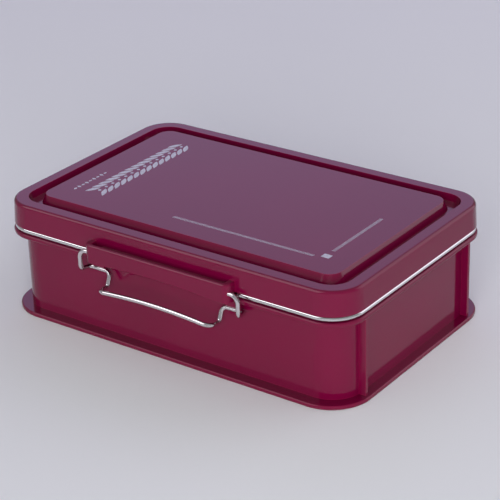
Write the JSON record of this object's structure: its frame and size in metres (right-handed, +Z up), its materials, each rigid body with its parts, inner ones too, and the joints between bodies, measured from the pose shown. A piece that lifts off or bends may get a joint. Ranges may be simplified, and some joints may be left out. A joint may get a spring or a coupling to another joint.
{
  "type": "lunch box",
  "caption": "Rounded rectangular lunch box: glossy plastic sleeve on a wide foot plate, pressed steel inner tray with rolled rim, hinged lid with raised panel, and a bent-wire latch.",
  "frame": {"origin": "centre of the foot plate's underside, on the table", "axes": "+X along the long side, front with the latch towards -Y, hinge towards +Y, +Z up"},
  "size_m": [0.2076, 0.1482, 0.0606],
  "materials": {
    "shell_plastic": "high gloss cherry red",
    "inner_plastic": "satin cherry red",
    "tray_steel": "polished stainless steel",
    "wire_steel": "bright drawn spring wire",
    "pin_steel": "plain steel",
    "seal_rubber": "matte white silicone"
  },
  "bodies": {
    "box": {"outer_body": "shell_plastic", "base_plate": "shell_plastic", "inner_tray": "tray_steel", "hinge_pin_left": "pin_steel", "hinge_pin_right": "pin_steel"},
    "lid": {"lid_shell": "shell_plastic", "lid_liner": "inner_plastic", "lid_gasket": "seal_rubber"},
    "latch": {"wire_latch": "wire_steel"}
  },
  "joints": [
    {"name": "lid_hinge", "type": "hinge", "parent": "box", "child": "lid", "pos_m": [0, 0.07, 0.046], "axis": [-1, 0, 0], "range_deg": [0, 105]},
    {"name": "latch_pivot", "type": "hinge", "parent": "lid", "child": "latch", "pos_m": [0, -0.0697, 0.0477], "axis": [-1, 0, 0], "range_deg": [0, 120]}
  ]
}
